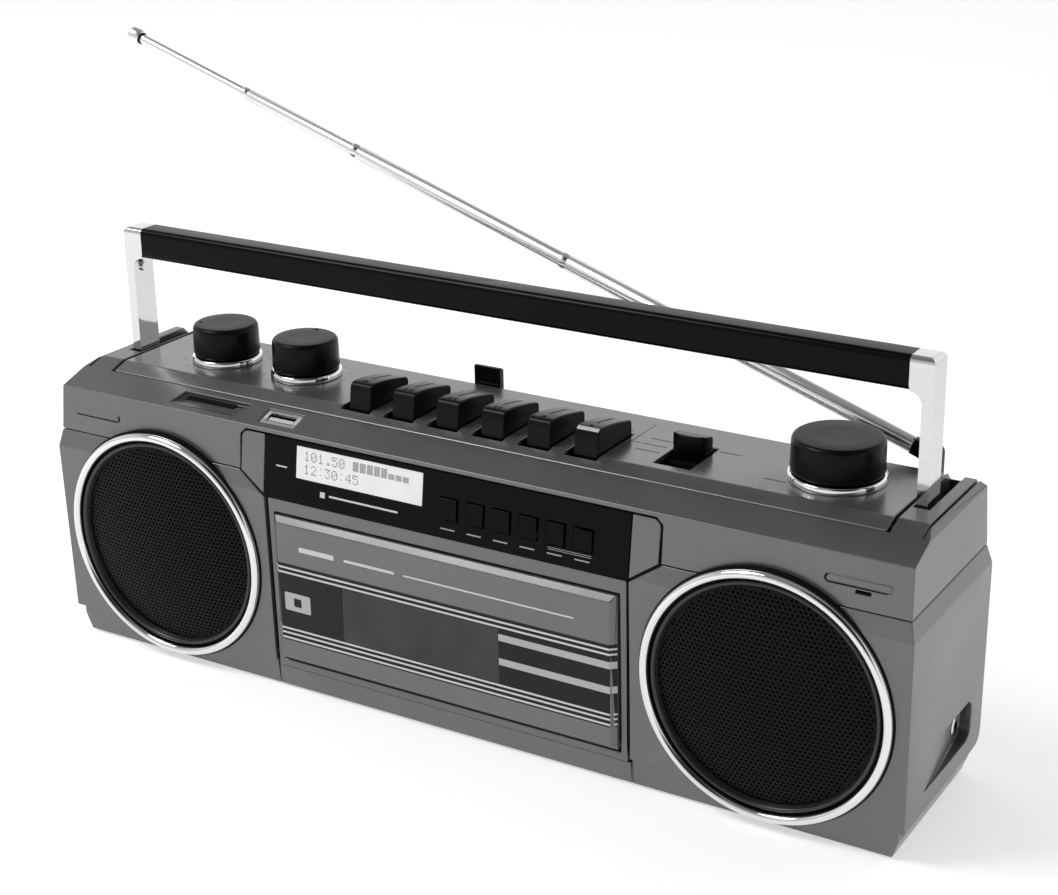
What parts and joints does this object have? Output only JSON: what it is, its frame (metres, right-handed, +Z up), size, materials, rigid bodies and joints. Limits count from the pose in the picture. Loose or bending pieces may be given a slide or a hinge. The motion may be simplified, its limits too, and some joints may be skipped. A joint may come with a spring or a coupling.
{
  "type": "boombox",
  "caption": "Portable radio and cassette player with a folding handle, piano keys, round speakers, front display and telescopic aerial.",
  "frame": {"origin": "centre of the base, on the surface the boombox stands on", "axes": "+X to the right seen from the front, the front faces -Y, +Z up"},
  "size_m": [0.416, 0.0941, 0.2609],
  "materials": {
    "silver_plastic": "satin metallic",
    "light_plastic": "satin metallic",
    "dark_plastic": "satin",
    "black_plastic": "gloss",
    "white_plastic": "satin",
    "black_metal": "satin",
    "plated_plastic": "chrome plated",
    "aerial_chrome": "polished",
    "steel": "satin",
    "speaker": "satin",
    "clear_window": "polished",
    "tinted_window": "polished",
    "display": "gloss",
    "circuit_board": "satin",
    "rubber": "matte"
  },
  "bodies": {
    "cabinet": {"bottom_shell": "dark_plastic", "middle_cabinet": "silver_plastic", "upper_cabinet": "silver_plastic", "rear_cover": "dark_plastic", "control_plate": "light_plastic", "middle_panel": "silver_plastic", "display_surround": "light_plastic", "display_bezel": "black_plastic", "display_window": "clear_window", "display_module": "display", "speaker_ring_l": "plated_plastic", "speaker_ring_r": "plated_plastic", "speaker_grille_l": "black_metal", "speaker_grille_r": "black_metal", "speaker_driver_l": "speaker", "speaker_driver_r": "speaker", "sd_reader": "dark_plastic", "usb_port": "steel", "headphone_socket": "steel", "mains_inlet": "black_plastic", "main_board": "circuit_board", "feet": "rubber", "case_screws": "steel", "handle_pivots": "steel", "knob_rings": "plated_plastic", "tuning_ring": "plated_plastic", "key_axle": "steel", "tape_chassis": "dark_plastic", "tape_head": "steel", "aerial_clip": "black_plastic"},
    "handle": {"handle_grip": "black_plastic", "handle_arm_l": "plated_plastic", "handle_arm_r": "plated_plastic"},
    "volume": {"volume_knob": "black_plastic"},
    "tone": {"tone_knob": "black_plastic"},
    "tuning": {"tuning_knob": "black_plastic"},
    "piano_1": {"key_1": "black_plastic"},
    "piano_2": {"key_2": "black_plastic"},
    "piano_3": {"key_3": "black_plastic"},
    "piano_4": {"key_4": "black_plastic"},
    "piano_5": {"key_5": "black_plastic"},
    "piano_6": {"key_6": "black_plastic"},
    "lever": {"function_lever": "black_plastic"},
    "menu_1": {"button_1": "black_plastic"},
    "menu_2": {"button_2": "black_plastic"},
    "menu_3": {"button_3": "black_plastic"},
    "menu_4": {"button_4": "black_plastic"},
    "menu_5": {"button_5": "black_plastic"},
    "menu_6": {"button_6": "black_plastic"},
    "door": {"cassette_door": "silver_plastic", "door_window": "tinted_window", "cassette_holder": "dark_plastic"},
    "battery_lid": {"battery_door": "dark_plastic"},
    "reel_l": {"reel_spindle_l": "white_plastic"},
    "reel_r": {"reel_spindle_r": "white_plastic"},
    "aerial_foot": {"aerial_turret": "black_plastic"},
    "aerial_1": {"aerial_tube_1": "aerial_chrome"},
    "aerial_2": {"aerial_tube_2": "aerial_chrome"},
    "aerial_3": {"aerial_tube_3": "aerial_chrome"},
    "aerial_4": {"aerial_tip": "aerial_chrome"}
  },
  "joints": [
    {"name": "handle_fold", "type": "hinge", "parent": "cabinet", "child": "handle", "pos_m": [0, 0.0048, 0.118], "axis": [-1, 0, 0], "range_deg": [0, 26]},
    {"name": "volume_turn", "type": "hinge", "parent": "cabinet", "child": "volume", "pos_m": [-0.1425, 0.0087, 0.135], "axis": [0, 0, 1], "range_deg": [-268, 32]},
    {"name": "tone_turn", "type": "hinge", "parent": "cabinet", "child": "tone", "pos_m": [-0.0993, 0.009, 0.135], "axis": [0, 0, 1], "range_deg": [-150, 150]},
    {"name": "tuning_turn", "type": "hinge", "parent": "cabinet", "child": "tuning", "pos_m": [0.148, 0.0098, 0.135], "axis": [0, 0, 1], "continuous": true},
    {"name": "piano_1_press", "type": "hinge", "parent": "cabinet", "child": "piano_1", "pos_m": [-0.0535, 0.008, 0.118], "axis": [1, 0, 0], "range_deg": [0, 7], "stiffness_Nm_per_rad": 0.8, "springref_deg": -6.88},
    {"name": "piano_2_press", "type": "hinge", "parent": "cabinet", "child": "piano_2", "pos_m": [-0.0321, 0.008, 0.118], "axis": [1, 0, 0], "range_deg": [0, 7], "stiffness_Nm_per_rad": 0.8, "springref_deg": -6.88},
    {"name": "piano_3_press", "type": "hinge", "parent": "cabinet", "child": "piano_3", "pos_m": [-0.0107, 0.008, 0.118], "axis": [1, 0, 0], "range_deg": [0, 7], "stiffness_Nm_per_rad": 0.8, "springref_deg": -6.88},
    {"name": "piano_4_press", "type": "hinge", "parent": "cabinet", "child": "piano_4", "pos_m": [0.0107, 0.008, 0.118], "axis": [1, 0, 0], "range_deg": [0, 7], "stiffness_Nm_per_rad": 0.8, "springref_deg": -6.88},
    {"name": "piano_5_press", "type": "hinge", "parent": "cabinet", "child": "piano_5", "pos_m": [0.0321, 0.008, 0.118], "axis": [1, 0, 0], "range_deg": [0, 7], "stiffness_Nm_per_rad": 0.8, "springref_deg": -6.88},
    {"name": "piano_6_press", "type": "hinge", "parent": "cabinet", "child": "piano_6", "pos_m": [0.0535, 0.008, 0.118], "axis": [1, 0, 0], "range_deg": [0, 7], "stiffness_Nm_per_rad": 0.8, "springref_deg": -6.88},
    {"name": "function_slide", "type": "slide", "parent": "cabinet", "child": "lever", "axis": [0, 1, 0], "range_m": [-0.012, 0]},
    {"name": "menu_1_press", "type": "slide", "parent": "cabinet", "child": "menu_1", "axis": [0, 0.9911, -0.1329], "range_m": [0, 0.0012], "stiffness_N_per_m": 500, "springref_m": -0.001},
    {"name": "menu_2_press", "type": "slide", "parent": "cabinet", "child": "menu_2", "axis": [0, 0.9911, -0.1329], "range_m": [0, 0.0012], "stiffness_N_per_m": 500, "springref_m": -0.001},
    {"name": "menu_3_press", "type": "slide", "parent": "cabinet", "child": "menu_3", "axis": [0, 0.9911, -0.1329], "range_m": [0, 0.0012], "stiffness_N_per_m": 500, "springref_m": -0.001},
    {"name": "menu_4_press", "type": "slide", "parent": "cabinet", "child": "menu_4", "axis": [0, 0.9911, -0.1329], "range_m": [0, 0.0012], "stiffness_N_per_m": 500, "springref_m": -0.001},
    {"name": "menu_5_press", "type": "slide", "parent": "cabinet", "child": "menu_5", "axis": [0, 0.9911, -0.1329], "range_m": [0, 0.0012], "stiffness_N_per_m": 500, "springref_m": -0.001},
    {"name": "menu_6_press", "type": "slide", "parent": "cabinet", "child": "menu_6", "axis": [0, 0.9911, -0.1329], "range_m": [0, 0.0012], "stiffness_N_per_m": 500, "springref_m": -0.001},
    {"name": "door_open", "type": "hinge", "parent": "cabinet", "child": "door", "pos_m": [0, -0.037, 0.018], "axis": [1, 0, 0], "range_deg": [0, 35]},
    {"name": "battery_open", "type": "hinge", "parent": "cabinet", "child": "battery_lid", "pos_m": [0, 0.0396, 0.0278], "axis": [-1, 0, 0], "range_deg": [0, 90]},
    {"name": "reel_l_turn", "type": "hinge", "parent": "cabinet", "child": "reel_l", "pos_m": [-0.02125, -0.02, 0.0473], "axis": [0, 1, 0], "continuous": true},
    {"name": "reel_r_turn", "type": "hinge", "parent": "cabinet", "child": "reel_r", "pos_m": [0.02125, -0.02, 0.0473], "axis": [0, 1, 0], "continuous": true},
    {"name": "aerial_swivel", "type": "hinge", "parent": "cabinet", "child": "aerial_foot", "pos_m": [0.1725, 0.0434, 0.118], "axis": [0, 0, -1], "range_deg": [0, 180]},
    {"name": "aerial_tilt", "type": "hinge", "parent": "aerial_foot", "child": "aerial_1", "pos_m": [0.1725, 0.0434, 0.128], "axis": [0, 1, 0], "range_deg": [-18.5, 71.5]},
    {"name": "aerial_pull_2", "type": "slide", "parent": "aerial_1", "child": "aerial_2", "axis": [-0.9483, 0, 0.3173], "range_m": [-0.105, 0.045]},
    {"name": "aerial_pull_3", "type": "slide", "parent": "aerial_2", "child": "aerial_3", "axis": [-0.9483, 0, 0.3173], "range_m": [-0.056, 0.085]},
    {"name": "aerial_pull_4", "type": "slide", "parent": "aerial_3", "child": "aerial_4", "axis": [-0.9483, 0, 0.3173], "range_m": [-0.045, 0.085]}
  ]
}
